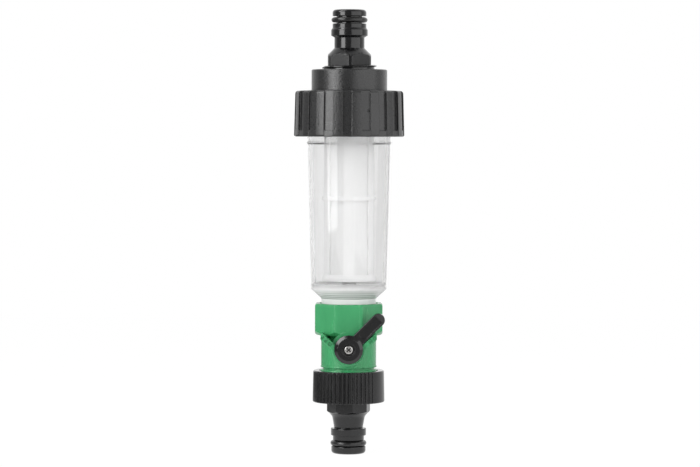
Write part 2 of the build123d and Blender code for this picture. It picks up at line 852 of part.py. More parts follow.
def build():
    """All pieces by name."""
    adaptor_washer = tube(
        valve_thread_radius - screwed_gap,
        adaptor_washer_inner_radius,
        adaptor_washer_bottom,
        valve_end,
    )
    neck_washer = tube(
        neck_screwed_radius - screwed_gap,
        neck_washer_inner_radius,
        socket_floor,
        neck_end,
    )
    head_seal = tube(cup_thread_root_radius, head_seal_inner_radius, cup_rim, flange_bottom)
    inlet_seal_height = inlet_groove_start + inlet_groove_width / 2
    outlet_seal_height = outlet_land_end + outlet_groove_width / 2
    cage_seal_height = cage_flange_top + cage_collar_length / 2
    return {
        "inlet_adaptor": inlet_adaptor(),
        "inlet_o_ring": ring_seal(inlet_ring_radius, inlet_ring_section, inlet_seal_height),
        "adaptor_washer": adaptor_washer,
        "valve_body": valve_body(),
        "seat_retainer": seat_retainer(),
        "lower_ball_seat": seat(-1),
        "upper_ball_seat": seat(1),
        "valve_ball": valve_ball(),
        "valve_stem": valve_stem(),
        "inner_stem_o_ring": stem_o_ring(0),
        "outer_stem_o_ring": stem_o_ring(1),
        "lever": lever(),
        "lever_screw": lever_screw(),
        "neck_washer": neck_washer,
        "clear_cup": clear_cup(),
        "cartridge_cage": cartridge_cage(),
        "cartridge_mesh": cartridge_mesh(),
        "cage_plug": cage_plug(),
        "cartridge_seal": ring_seal(cage_collar_radius, cage_seal_section, cage_seal_height),
        "head_seal": head_seal,
        "filter_head": filter_head(),
        "union_nut": union_nut(),
        "outlet_nipple": outlet_nipple(),
        "outlet_o_ring": ring_seal(outlet_ring_radius, outlet_ring_section, outlet_seal_height),
    }


os.makedirs("parts", exist_ok=True)
for name, piece in build().items():
    export_step(piece, f"parts/{name}.step")
print("overall height", round(outlet_end, 2), "valve axis", round(valve_axis, 2))
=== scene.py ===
# %% [markdown]
# # A garden hose water filter, dressed for its photograph
# The solids come from the CAD model and stay where they are. This lesson adds what a solid can't
# carry: the finish of each plastic, the screw threads, the raised lettering, the light and the
# camera. Every length is in metres, and +Z runs along the flow.

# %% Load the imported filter
import json
from math import atan2, cos, degrees, hypot, pi, radians, sin

import bmesh
import bpy
from mathutils import Matrix, Vector


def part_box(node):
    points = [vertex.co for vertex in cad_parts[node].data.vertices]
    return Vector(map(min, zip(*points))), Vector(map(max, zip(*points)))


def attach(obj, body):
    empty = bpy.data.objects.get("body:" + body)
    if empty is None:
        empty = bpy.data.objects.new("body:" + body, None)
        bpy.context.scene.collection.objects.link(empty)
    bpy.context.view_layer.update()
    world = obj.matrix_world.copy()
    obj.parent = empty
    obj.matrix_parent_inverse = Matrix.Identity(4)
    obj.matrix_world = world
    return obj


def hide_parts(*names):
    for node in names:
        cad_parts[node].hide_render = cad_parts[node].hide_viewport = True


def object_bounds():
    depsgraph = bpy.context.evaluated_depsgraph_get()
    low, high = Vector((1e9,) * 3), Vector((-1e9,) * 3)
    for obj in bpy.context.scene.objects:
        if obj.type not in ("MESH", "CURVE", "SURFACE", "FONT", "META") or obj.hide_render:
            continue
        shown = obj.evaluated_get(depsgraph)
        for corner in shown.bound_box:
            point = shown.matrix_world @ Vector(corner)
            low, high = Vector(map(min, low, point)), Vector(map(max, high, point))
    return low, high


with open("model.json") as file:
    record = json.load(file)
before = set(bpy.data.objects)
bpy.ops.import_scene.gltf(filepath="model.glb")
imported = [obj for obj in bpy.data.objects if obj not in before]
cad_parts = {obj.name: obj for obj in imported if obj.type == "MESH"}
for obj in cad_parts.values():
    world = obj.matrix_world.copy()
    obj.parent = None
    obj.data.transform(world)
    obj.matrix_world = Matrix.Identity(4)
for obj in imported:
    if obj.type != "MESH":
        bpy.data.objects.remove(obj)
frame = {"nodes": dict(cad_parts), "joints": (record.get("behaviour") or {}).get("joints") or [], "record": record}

MM = 0.001
cad_low, cad_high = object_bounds()
slot_of = {part["node"]: part["material_slot"] for part in frame["record"]["subparts"]}
print("solids:", len(frame["nodes"]), "height mm:", round((cad_high - cad_low).z / MM, 2))

# %% [markdown]
# ## Heights to work from
# A thread or a letter has to sit on the solid that carries it, so its place is read from the
# solids' boxes and not typed in twice. Only the sizes that belong to the new piece are given here.

# %% Read the heights of the seats
octagon_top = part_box("valve_body")[1].z
cone_start = octagon_top + 2.35 * MM
nut_low, nut_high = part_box("union_nut")
head_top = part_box("filter_head")[1].z
valve_axis = next(j for j in frame["joints"] if j["name"] == "lever_turn")["pos_m"][2]
print("valve axis mm:", round(valve_axis / MM, 2), "nut mm:", round(nut_low.z / MM, 2), round(nut_high.z / MM, 2))

# %% [markdown]
# ## Helpers for node trees
# Shader trees and Geometry Nodes trees are both graphs of nodes with sockets. One small helper
# that adds a node, sets its unlinked sockets and links the others keeps each tree readable. A
# noise's values mostly lie between NOISE_LOW and NOISE_HIGH, so ranges and ramps run between them.

# %% Add a node and join it up
NOISE_LOW, NOISE_HIGH = 0.3, 0.7


def add(tree, kind, inputs=None, **settings):
    node = tree.nodes.new(kind)
    for key, value in settings.items():
        setattr(node, key, value)
    for key, value in (inputs or {}).items():
        socket = node.inputs[key]
        if isinstance(value, bpy.types.NodeSocket):
            tree.links.new(value, socket)
        else:
            socket.default_value = value
    return node


def maths(tree, operation, first, second=0.0):
    return add(tree, "ShaderNodeMath", {0: first, 1: second}, operation=operation).outputs[0]


def mapped(tree, value, low, high, out_low, out_high):
    limits = {"Value": value, "From Min": low, "From Max": high, "To Min": out_low, "To Max": out_high}
    return add(tree, "ShaderNodeMapRange", limits).outputs["Result"]


def ramp(tree, factor, stops):
    node = add(tree, "ShaderNodeValToRGB", {"Fac": factor})
    elements = node.color_ramp.elements
    for index, (position, colour) in enumerate(stops):
        stop = elements[index] if index < 2 else elements.new(position)
        stop.position, stop.color = position, (*colour, 1.0)
    return node.outputs["Color"]


def group_of(name, inputs, outputs):
    tree = bpy.data.node_groups.new(name, "ShaderNodeTree")
    for label, default in inputs.items():
        socket = tree.interface.new_socket(label, in_out="INPUT", socket_type="NodeSocketFloat")
        socket.default_value = default
    for label in outputs:
        tree.interface.new_socket(label, in_out="OUTPUT", socket_type="NodeSocketFloat")
    return tree, tree.nodes.new("NodeGroupInput"), tree.nodes.new("NodeGroupOutput")


def vary_roughness(tree, noise, given, made):
    low, high = given.outputs["Low Roughness"], given.outputs["High Roughness"]
    tree.links.new(mapped(tree, noise, NOISE_LOW, NOISE_HIGH, low, high), made.inputs["Roughness"])


print("noise values used from", NOISE_LOW, "to", NOISE_HIGH)

# %% [markdown]
# ## Spark-eroded grain
# The union nut and the head come from a mould whose steel was eroded by sparks, which leaves a
# fine leathery grain. It could be a picture of the real grain, but two noises in Object
# coordinates do it with no seam: a coarse one for the pits and a fine one for their floors. The
# same group, with a smaller grain, serves the rubber rings.

# %% Build the grain group
grain_tree, given, made = group_of(
    "spark_grain",
    {"Grain Size": 0.0006, "Low Roughness": 0.4, "High Roughness": 0.6},
    ["Height", "Roughness", "Patches"],
)
place = add(grain_tree, "ShaderNodeTexCoord").outputs["Object"]
pit_scale = maths(grain_tree, "DIVIDE", 1.0, given.outputs["Grain Size"])
pits = add(
    grain_tree, "ShaderNodeTexNoise", {"Vector": place, "Scale": pit_scale, "Detail": 2.0, "Roughness": 0.5}
).outputs["Fac"]
floors = add(
    grain_tree, "ShaderNodeTexVoronoi", {"Vector": place, "Scale": pit_scale}, feature="SMOOTH_F1"
).outputs["Distance"]
patches = add(
    grain_tree, "ShaderNodeTexNoise", {"Vector": place, "Scale": 55.0, "Detail": 3.0, "Roughness": 0.55}
).outputs["Fac"]
floor_share = 0.5
both = add(grain_tree, "ShaderNodeMath", {0: floors, 1: floor_share, 2: pits}, operation="MULTIPLY_ADD")
grain_tree.links.new(both.outputs[0], made.inputs["Height"])
vary_roughness(grain_tree, pits, given, made)
grain_tree.links.new(patches, made.inputs["Patches"])
print("grain group:", len(grain_tree.nodes), "nodes")

# %% [markdown]
# ## Moulded skin
# A polished mould gives a glossy skin that is never quite even: the melt flows up from the gate
# and leaves long faint streaks, and the skin ripples a little where walls change thickness. The
# group stretches a noise along Z for the streaks and adds a wide, shallow one for the ripple.

# %% Build the skin group
skin_tree, given, made = group_of(
    "moulded_skin",
    {"Ripple Size": 0.006, "Low Roughness": 0.2, "High Roughness": 0.3},
    ["Height", "Roughness", "Flow"],
)
place = add(skin_tree, "ShaderNodeTexCoord").outputs["Object"]
stretched = add(
    skin_tree, "ShaderNodeMapping", {"Vector": place, "Scale": (1.0, 1.0, 0.22)}
).outputs["Vector"]
streaks = add(
    skin_tree, "ShaderNodeTexNoise", {"Vector": stretched, "Scale": 160.0, "Detail": 4.0, "Roughness": 0.6}
).outputs["Fac"]
ripple_scale = maths(skin_tree, "DIVIDE", 1.0, given.outputs["Ripple Size"])
ripple = add(skin_tree, "ShaderNodeTexNoise", {"Vector": place, "Scale": ripple_scale, "Detail": 1.0})
skin_tree.links.new(ripple.outputs["Fac"], made.inputs["Height"])
vary_roughness(skin_tree, streaks, given, made)
skin_tree.links.new(streaks, made.inputs["Flow"])
print("skin group:", len(skin_tree.nodes), "nodes")

# %% [markdown]
# ## Woven filter mesh
# The cartridge is wrapped in a fine polyester mesh. Modelling each thread would take hundreds of
# thousands of faces, so the weave is a height over the tube: one wave runs round it, one along
# it, and they take turns on top as real threads do. The wave round the tube needs the angle
# times the radius, which arctangent gives from Object coordinates.

# %% Build the weave group
weave_tree, given, made = group_of(
    "woven_mesh", {"Pitch": 0.0005, "Radius": 0.011}, ["Height", "Thread"]
)
place = add(weave_tree, "ShaderNodeTexCoord").outputs["Object"]
along = add(weave_tree, "ShaderNodeSeparateXYZ", {"Vector": place})
turn = maths(weave_tree, "ARCTAN2", along.outputs["Y"], along.outputs["X"])
arc = maths(weave_tree, "MULTIPLY", turn, given.outputs["Radius"])
half_wave = maths(weave_tree, "DIVIDE", pi, given.outputs["Pitch"])
round_phase = maths(weave_tree, "MULTIPLY", arc, half_wave)
long_phase = maths(weave_tree, "MULTIPLY", along.outputs["Z"], half_wave)
round_wave = maths(weave_tree, "ABSOLUTE", maths(weave_tree, "SINE", round_phase))
long_wave = maths(weave_tree, "ABSOLUTE", maths(weave_tree, "SINE", long_phase))
over = maths(
    weave_tree, "MULTIPLY", maths(weave_tree, "COSINE", round_phase), maths(weave_tree, "COSINE", long_phase)
)
over_share = 0.25
raised = maths(weave_tree, "MULTIPLY", over, over_share)
thread = maths(weave_tree, "MAXIMUM", round_wave, long_wave)
weave_tree.links.new(maths(weave_tree, "ADD", thread, raised), made.inputs["Height"])
weave_tree.links.new(thread, made.inputs["Thread"])
print("weave group:", len(weave_tree.nodes), "nodes")

# %% [markdown]
# ## Finishes
# Each material is one Principled BSDF, and only the cup's blends two. Its steady values sit on its
# own sockets, and only what changes over the surface comes from a group: a little lightness and
# darkness, the roughness and the bump. Where a width is given for the edges, a Bevel node turns
# the normals near them under the bump, so that they catch the light as rounded edges do.

# %% Start a material and vary its colour
def set_steady(shader, steady):
    for label, value in steady.items():
        shader.inputs[label.replace("_", " ").title().replace("Ior", "IOR")].default_value = value


def start_material(name, **steady):
    material = bpy.data.materials.new(name)
    material.use_nodes = True
    tree = material.node_tree
    bsdf = next(n for n in tree.nodes if n.type == "BSDF_PRINCIPLED")
    set_steady(bsdf, steady)
    material.diffuse_color = bsdf.inputs["Base Color"].default_value
    return material, tree, bsdf


def tinted(tree, factor, dark, light, low=NOISE_LOW, high=NOISE_HIGH):
    return ramp(tree, factor, [(low, dark), (high, light)])


def grouped(tree, group, **values):
    node = add(tree, "ShaderNodeGroup", node_tree=group)
    for label, value in values.items():
        node.inputs[label.replace("_", " ")].default_value = value
    return node.outputs


def bump(tree, bsdf, height, depth, edge=0.0):
    node = add(tree, "ShaderNodeBump", {"Height": height, "Distance": depth, "Strength": 1.0})
    if edge > 0.0:
        worn = add(tree, "ShaderNodeBevel", {"Radius": edge}, samples=6)
        tree.links.new(worn.outputs["Normal"], node.inputs["Normal"])
    tree.links.new(node.outputs["Normal"], bsdf.inputs["Normal"])


def skinned(name, dark, light, low, high, depth=0.04 * MM, ripple=6.0 * MM, edge=0.0, **steady):
    material, tree, bsdf = start_material(name, **steady)
    skin = grouped(tree, skin_tree, Ripple_Size=ripple, Low_Roughness=low, High_Roughness=high)
    tree.links.new(tinted(tree, skin["Flow"], dark, light), bsdf.inputs["Base Color"])
    tree.links.new(skin["Roughness"], bsdf.inputs["Roughness"])
    bump(tree, bsdf, skin["Height"], depth, edge)
    return material


def grained(name, dark, light, low, high, size, depth, edge=0.0, **steady):
    material, tree, bsdf = start_material(name, **steady)
    grain = grouped(tree, grain_tree, Grain_Size=size, Low_Roughness=low, High_Roughness=high)
    tree.links.new(tinted(tree, grain["Patches"], dark, light), bsdf.inputs["Base Color"])
    tree.links.new(grain["Roughness"], bsdf.inputs["Roughness"])
    bump(tree, bsdf, grain["Height"], depth, edge)
    return material


print("slots that need a finish:", sorted(set(slot_of.values())))

# %% [markdown]
# The black nipples, adaptor and lever are glossy polypropylene. The valve in green is the same
# resin with a pigment. Both take the skin group, so their highlights waver a little as they do on
# a real moulding. Each finish lists its darkest and lightest colour and its lowest and highest
# roughness.

# %% Glossy mouldings
finish = {
    "black_plastic": skinned(
        "glossy_black_moulding", dark=(0.0055, 0.0055, 0.006), light=(0.0085, 0.0085, 0.009),
        low=0.11, high=0.19, edge=0.3 * MM, ior=1.54,
    ),
    "green_plastic": skinned(
        "green_moulding", dark=(0.058, 0.365, 0.142), light=(0.072, 0.43, 0.172),
        low=0.2, high=0.3, edge=0.35 * MM, ior=1.49,
    ),
    "white_plastic": skinned(
        "white_cartridge_moulding", dark=(0.93, 0.93, 0.93), light=(0.96, 0.96, 0.96),
        low=0.35, high=0.45, ior=1.4,
    ),
    "seat_plastic": skinned(
        "white_seat_moulding", dark=(0.68, 0.67, 0.63), light=(0.76, 0.75, 0.71),
        low=0.3, high=0.4, ior=1.36,
    ),
    "ball_plastic": skinned(
        "polished_ball_moulding", dark=(0.42, 0.42, 0.41), light=(0.50, 0.50, 0.49),
        low=0.08, high=0.16, ior=1.49,
    ),
}
print("glossy finishes:", [m.name for m in finish.values()])

# %% [markdown]
# The nut and the head have the spark-eroded grain, and the black seal rings a finer and shallower
# one under a slight sheen of grease. The stub under the cartridge is a dull grey rubber.

# %% Grained mouldings and rubber
nut_black = {"dark": (0.013, 0.013, 0.0135), "light": (0.020, 0.020, 0.0205)}
finish["black_grained_plastic"] = grained(
    "grained_black_moulding", **nut_black, low=0.25, high=0.36,
    size=0.6 * MM, depth=0.07 * MM, edge=0.6 * MM, ior=1.6,
)
finish["black_rubber"] = grained(
    "black_rubber", dark=(0.006, 0.006, 0.006), light=(0.010, 0.010, 0.010),
    low=0.2, high=0.34, size=0.3 * MM, depth=0.01 * MM, ior=1.54,
)
plug_rubber = grained(
    "grey_plug_rubber", dark=(0.42, 0.42, 0.42), light=(0.50, 0.50, 0.50),
    low=0.4, high=0.55, size=0.4 * MM, depth=0.01 * MM, ior=1.5,
)
print("grained finishes:", finish["black_grained_plastic"].name, finish["black_rubber"].name, plug_rubber.name)

# %% [markdown]
# The cup is clear styrene acrylonitrile. Real light bends in its wall, so it is a true dielectric
# with hardly any tint. Its thick floor and cone are hazier, and grey rings are painted into their
# tint where the neck's threads show through. A second shader that lets little light through stands
# for that zone. A mask along Z blends the two, and each keeps its own plain transmission.

# %% Clear cup
def greys(stops):
    return [(position, (level, level, level)) for position, level in stops]


clear_share, hazy_share, hazy_roughness = 0.94, 0.16, 0.06
haze_full, haze_gone = cone_start + 4.8 * MM, cone_start + 8.2 * MM
neck_shows = 4.0 * MM
cup_steady = {"base_color": (0.98, 0.985, 0.985, 1.0), "ior": 1.46, "metallic": 0.0, "specular_ior_level": 0.35}
clear, tree, bsdf = start_material("clear_cup_moulding", transmission_weight=clear_share, **cup_steady)
hazy_bsdf = add(tree, "ShaderNodeBsdfPrincipled")
set_steady(hazy_bsdf, {"transmission_weight": hazy_share, **cup_steady})
skin = grouped(tree, skin_tree, Ripple_Size=20.0 * MM, Low_Roughness=0.02, High_Roughness=0.03)
place = add(tree, "ShaderNodeTexCoord").outputs["Object"]
height_up = add(tree, "ShaderNodeSeparateXYZ", {"Vector": place}).outputs["Z"]
haze = mapped(tree, height_up, haze_full, haze_gone, 1.0, 0.0)
cup_roughness = maths(tree, "ADD", skin["Roughness"], maths(tree, "MULTIPLY", haze, hazy_roughness))
in_neck = mapped(tree, height_up, cone_start, cone_start + neck_shows, 0.0, 1.0)
# Painted rings: dark bands in the tint stand for the neck's threads seen through the wall.
ring_stops = [
    (0.0, 0.95), (0.05, 0.4), (0.11, 0.98), (0.2, 0.98), (0.26, 0.35), (0.31, 0.98), (0.42, 0.95),
    (0.48, 0.4), (0.53, 0.98), (0.66, 1.0), (0.72, 0.7), (0.8, 0.95), (1.0, 0.98),
]
rings = ramp(tree, in_neck, greys(ring_stops))
for shader in (bsdf, hazy_bsdf):
    tree.links.new(cup_roughness, shader.inputs["Roughness"])
    tree.links.new(rings, shader.inputs["Base Color"])
blend = add(tree, "ShaderNodeMixShader", {0: haze, 1: bsdf.outputs[0], 2: hazy_bsdf.outputs[0]})
surface_output = next(n for n in tree.nodes if n.type == "OUTPUT_MATERIAL")
tree.links.new(blend.outputs[0], surface_output.inputs["Surface"])
finish["clear_plastic"] = clear
print("cup's haze ends mm above the collar:", round((haze_gone - octagon_top) / MM, 2))

# %% [markdown]
# The mesh shows as a pale grey sheen between the ribs. Its threads are white, and the gaps
# between them carry painted shade from the weave group's mask.

# %% Filter mesh
mesh_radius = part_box("cartridge_mesh")[1].x
woven, tree, bsdf = start_material("woven_filter_mesh", ior=1.5, roughness=0.55)
weave = grouped(tree, weave_tree, Pitch=0.4 * MM, Radius=mesh_radius)
# Painted shade: the gaps between the threads are greyer than the threads.
painted_gap_grey, thread_white = (0.80, 0.80, 0.80), (0.92, 0.92, 0.92)
mesh_tint = tinted(tree, weave["Thread"], painted_gap_grey, thread_white, low=0.35, high=0.9)
tree.links.new(mesh_tint, bsdf.inputs["Base Color"])
bump(tree, bsdf, weave["Height"], 0.06 * MM)
finish["mesh_fabric"] = woven
print("mesh radius mm:", round(mesh_radius / MM, 2))

# %% [markdown]
# The screw is nickel on steel: bright, slightly warm and softly scratched by the driver. Its cross
# recess has painted shade: the tint falls off with the depth behind the head's face. The stem
# inside the valve is turned brass, a little duller.

# %% Metals
# Painted shade in the screw's recess: where it starts behind the face, how deep it fades in, how dark it ends.
recess_shade_start, recess_shade_fade, recess_shade_level = 0.35 * MM, 0.25 * MM, 0.12


def metal(name, dark, light, low, high, shade_behind_face=None):
    material, tree, bsdf = start_material(name, metallic=1.0)
    grain = grouped(tree, grain_tree, Grain_Size=0.5 * MM, Low_Roughness=low, High_Roughness=high)
    tint = tinted(tree, grain["Patches"], dark, light)
    # Painted shade: the tint darkens with the depth behind the screw's face, so the cross recess reads dark.
    if shade_behind_face is not None:
        place = add(tree, "ShaderNodeTexCoord").outputs["Object"]
        inward = add(tree, "ShaderNodeSeparateXYZ", {"Vector": place}).outputs["Y"]
        shade_from = shade_behind_face + recess_shade_start
        unshaded_share = mapped(tree, inward, shade_from, shade_from + recess_shade_fade, 1.0, recess_shade_level)
        scaled = add(tree, "ShaderNodeVectorMath", {"Vector": tint, "Scale": unshaded_share}, operation="SCALE")
        tint = scaled.outputs["Vector"]
    tree.links.new(tint, bsdf.inputs["Base Color"])
    tree.links.new(grain["Roughness"], bsdf.inputs["Roughness"])
    bump(tree, bsdf, grain["Height"], 0.01 * MM)
    return material


finish["plated_steel"] = metal(
    "nickel_plated_steel", dark=(0.60, 0.59, 0.57), light=(0.72, 0.71, 0.69),
    low=0.2, high=0.34, shade_behind_face=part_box("lever_screw")[0].y,
)
finish["stem_brass"] = metal(
    "turned_brass", dark=(0.62, 0.45, 0.19), light=(0.74, 0.55, 0.25), low=0.22, high=0.36
)
for name, node in frame["nodes"].items():
    material = plug_rubber if name == "cage_plug" else finish[slot_of[name]]
    if not node.data.materials:
        node.data.materials.append(material)
    for index in range(len(node.material_slots)):
        node.material_slots[index].material = material
print("finishes:", len(finish), "on", len(frame["nodes"]), "solids")

# %% [markdown]
# ## Screw threads
# The cup, the nut and the nipples are screwed together, and a turn of thread peeps out at each
# joint. A thread is one profile swept along a helix, a shape that follows a rule, so Geometry
# Nodes makes it: Curve Spiral gives the helix, a trapezoid gives the profile, and the curve's
# radius shrinks at both ends so that the ridge runs out as a real one does. One tree with named
# inputs makes every thread. The helix comes first.

# %% Start the thread tree with its helix
thread_tree = bpy.data.node_groups.new("helical_thread", "GeometryNodeTree")
thread_tree.interface.new_socket("Geometry", in_out="OUTPUT", socket_type="NodeSocketGeometry")
thread_sizes = ["Root Radius", "Ridge Height", "Root Width", "Crest Width", "Pitch", "Turns",
                "Start Height", "Start Angle", "Fade", "Side", "Rounding"]
for label in thread_sizes:
    thread_tree.interface.new_socket(label, in_out="INPUT", socket_type="NodeSocketFloat")
thread_tree.interface.new_socket("Material", in_out="INPUT", socket_type="NodeSocketMaterial")
given = thread_tree.nodes.new("NodeGroupInput").outputs
embed, steps_per_turn, end_radius = 0.12 * MM, 96, 0.05
inner = maths(thread_tree, "MULTIPLY", given["Side"], -embed)
path_radius = maths(thread_tree, "ADD", given["Root Radius"], inner)
rise = maths(thread_tree, "MULTIPLY", given["Pitch"], given["Turns"])
spiral = add(
    thread_tree, "GeometryNodeCurveSpiral",
    {"Resolution": steps_per_turn, "Rotations": given["Turns"], "Start Radius": path_radius,
     "End Radius": path_radius, "Height": rise, "Reverse": True},
)
lift = add(thread_tree, "ShaderNodeCombineXYZ", {"Z": given["Start Height"]})
spin = add(thread_tree, "ShaderNodeCombineXYZ", {"Z": given["Start Angle"]})
placed = add(
    thread_tree, "GeometryNodeTransform",
    {"Geometry": spiral.outputs["Curve"], "Translation": lift.outputs[0], "Rotation": spin.outputs[0]},
)
upright = add(thread_tree, "GeometryNodeSetCurveNormal", {"Curve": placed.outputs[0]}, mode="Z_UP")
run = add(thread_tree, "GeometryNodeSplineParameter").outputs["Factor"]
to_end = maths(thread_tree, "SUBTRACT", 1.0, run)
nearest = maths(thread_tree, "MINIMUM", run, to_end)
fade = mapped(thread_tree, maths(thread_tree, "DIVIDE", nearest, given["Fade"]), 0.0, 1.0, end_radius, 1.0)
tapered = add(thread_tree, "GeometryNodeSetCurveRadius", {"Curve": upright.outputs[0], "Radius": fade})
print("nodes up to the helix:", len(thread_tree.nodes), "inputs:", len(thread_sizes))

# %% [markdown]
# The profile stands outwards on a bolt and inwards in a nut, as the sign of the Side input says.
# Its corners are rounded before Curve to Mesh sweeps it. The tree ends in Realize Instances,
# because an export drops what is only an instance, and in Set Material.

# %% Sweep the profile along the helix
tall = maths(thread_tree, "ADD", given["Ridge Height"], embed)
outline = add(
    thread_tree, "GeometryNodeCurvePrimitiveQuadrilateral",
    {"Height": tall, "Bottom Width": given["Root Width"], "Top Width": given["Crest Width"], "Offset": 0.0},
    mode="TRAPEZOID",
)
half_tall = maths(thread_tree, "MULTIPLY", tall, 0.5)
out = maths(thread_tree, "MULTIPLY", half_tall, given["Side"])
slide = add(thread_tree, "ShaderNodeCombineXYZ", {"X": out})
lean = maths(thread_tree, "MULTIPLY", given["Side"], -pi / 2)
turned = add(thread_tree, "ShaderNodeCombineXYZ", {"Z": lean})
profile = add(
    thread_tree, "GeometryNodeTransform",
    {"Geometry": outline.outputs["Curve"], "Translation": slide.outputs[0], "Rotation": turned.outputs[0]},
)
filleted = add(
    thread_tree, "GeometryNodeFilletCurve",
    {"Curve": profile.outputs[0], "Radius": given["Rounding"], "Limit Radius": True, "Count": 3}, mode="POLY",
)
ridge = add(
    thread_tree, "GeometryNodeCurveToMesh",
    {"Curve": tapered.outputs[0], "Profile Curve": filleted.outputs[0], "Fill Caps": True},
)
real = add(thread_tree, "GeometryNodeRealizeInstances", {"Geometry": ridge.outputs[0]})
painted = add(
    thread_tree, "GeometryNodeSetMaterial", {"Geometry": real.outputs[0], "Material": given["Material"]}
)
thread_tree.links.new(painted.outputs[0], thread_tree.nodes.new("NodeGroupOutput").inputs[0])
print("thread tree:", len(thread_tree.nodes), "nodes")

# %% [markdown]
# ## Helpers for meshes
# A modifier's result is copied out as a plain mesh, and the object that held it goes away. Each
# new mesh is merged, turned to face outwards and shaded smooth below a small angle. A merged copy
# of a CAD solid also drops the normals it came with, which no longer fit its points.

# %% Make and merge meshes
merge_distance = 0.002 * MM
smooth_below = 32.0


def tidy_mesh(mesh, smooth_angle=smooth_below):
    shape = bmesh.new()
    shape.from_mesh(mesh)
    bmesh.ops.remove_doubles(shape, verts=shape.verts, dist=merge_distance)
    bmesh.ops.recalc_face_normals(shape, faces=shape.faces)
    shape.to_mesh(mesh)
    shape.free()
    if "custom_normal" in mesh.attributes:
        mesh.attributes.remove(mesh.attributes["custom_normal"])
    mesh.shade_smooth()
    mesh.set_sharp_from_angle(angle=radians(smooth_angle))
    return mesh


def link_new(name, mesh):
    piece = bpy.data.objects.new(name, mesh)
    bpy.context.scene.collection.objects.link(piece)
    return piece


def made_mesh(maker, name):
    mesh = bpy.data.meshes.new_from_object(maker.evaluated_get(bpy.context.evaluated_depsgraph_get()))
    mesh.name = name
    leftover = maker.data
    bpy.data.objects.remove(maker)
    if leftover.users == 0 and isinstance(leftover, bpy.types.Mesh):
        bpy.data.meshes.remove(leftover)
    return mesh


print("doubles merged below mm:", round(merge_distance / MM, 4), "smooth below degrees:", smooth_below)

# %% [markdown]
# ## Thread on the cup's mouth
# A modifier's inputs are stored under socket identifiers, so the helper looks each name up first.
# The cup's mouth carries the coarse thread that the union nut grips. The ridge is clear like the
# cup, and its root is sunk a tenth of a millimetre into the wall so that no gap shows below it.

# %% Make the clear thread
def make_thread(name, material, **sizes):
    maker = link_new(name + "_maker", bpy.data.meshes.new(name + "_seed"))
    modifier = maker.modifiers.new("thread", "NODES")
    modifier.node_group = thread_tree
    sockets = {s.name: s.identifier for s in thread_tree.interface.items_tree if s.in_out == "INPUT"}
    for label, value in sizes.items():
        modifier[sockets[label.replace("_", " ").title()]] = value
    modifier[sockets["Material"]] = material
    piece = link_new(name, tidy_mesh(made_mesh(maker, name)))
    radii = [hypot(v.co.x, v.co.y) / MM for v in piece.data.vertices]
    heights = [v.co.z / MM for v in piece.data.vertices]
    print(name, "radius mm:", round(min(radii), 2), round(max(radii), 2),
          "height mm:", round(min(heights), 2), round(max(heights), 2))
    return piece


union_pitch = 2.0 * MM
mouth_ridge = make_thread(
    "cup_mouth_ridge", clear, root_radius=20.1 * MM, ridge_height=0.95 * MM, root_width=1.25 * MM,
    crest_width=0.6 * MM, pitch=union_pitch, turns=5.9, start_height=nut_low.z + 0.9 * MM,
    start_angle=radians(100.0), fade=0.012, side=1.0, rounding=0.2 * MM,
)
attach(mouth_ridge, "housing")

# %% [markdown]
# The nut's own thread fills the gaps half a turn along, and the outlet nipple shows one turn of
# its thread between the head and its hexagon.

# %% Threads of the nut and the outlet nipple
nut_ridge = make_thread(
    "nut_inner_thread", finish["black_grained_plastic"], root_radius=21.25 * MM, ridge_height=0.85 * MM,
    root_width=1.1 * MM, crest_width=0.45 * MM, pitch=union_pitch, turns=5.6,
    start_height=nut_low.z + 0.8 * MM, start_angle=radians(61.0), fade=0.012, side=-1.0, rounding=0.12 * MM,
)
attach(nut_ridge, "nut")
outlet_ridge = make_thread(
    "outlet_thread", finish["black_plastic"], root_radius=12.1 * MM, ridge_height=1.05 * MM,
    root_width=1.2 * MM, crest_width=0.4 * MM, pitch=1.814 * MM, turns=1.14,
    start_height=head_top - 0.35 * MM, start_angle=radians(-50.0), fade=0.06, side=1.0, rounding=0.1 * MM,
)
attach(outlet_ridge, "head")

# %% [markdown]
# ## Rounded edges
# No moulded edge is truly sharp, and it is the tiny rounding along an edge that draws the bright
# line in the photograph. Most mouldings leave that to the Bevel node in their finish. The outlet
# nipple and the lever have it in the mesh: a Bevel modifier rounds each sharp edge of a merged copy
# by a fraction of a millimetre, and weighted normals keep the flats flat. Rounding only takes
# material away at outer edges, so nothing grows.

# %% Round the edges of the outlet nipple
edge_angle, edge_segments = 31.0, 2
rounded_smooth_below = 31.5


def merged_copy(node, name):
    mesh = node.data.copy()
    mesh.name = name
    return link_new(name, tidy_mesh(mesh))


def rounded(base, name, width):
    bevel = base.modifiers.new("rounding", "BEVEL")
    bevel.width, bevel.segments = width, edge_segments
    bevel.limit_method, bevel.angle_limit = "ANGLE", radians(edge_angle)
    bevelled_mesh = tidy_mesh(made_mesh(base, name + "_bevelled"), rounded_smooth_below)
    bevelled = link_new(name + "_bevelled", bevelled_mesh)
    levelled = bevelled.modifiers.new("face weights", "WEIGHTED_NORMAL")
    levelled.mode, levelled.weight, levelled.keep_sharp = "FACE_AREA_WITH_ANGLE", 50, True
    return link_new(name, made_mesh(bevelled, name))


nipple_copy = merged_copy(frame["nodes"]["outlet_nipple"], "outlet_nipple_copy")
nipple = rounded(nipple_copy, "soft_outlet_nipple", 0.14 * MM)
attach(nipple, "head")
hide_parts("outlet_nipple")
print(nipple.name, "faces:", len(nipple.data.polygons))

# %% [markdown]
# The hexagon's six faces are matt, and only their rims are polished. They are found by facing
# sideways at every sixty degrees between the thread and the cone.

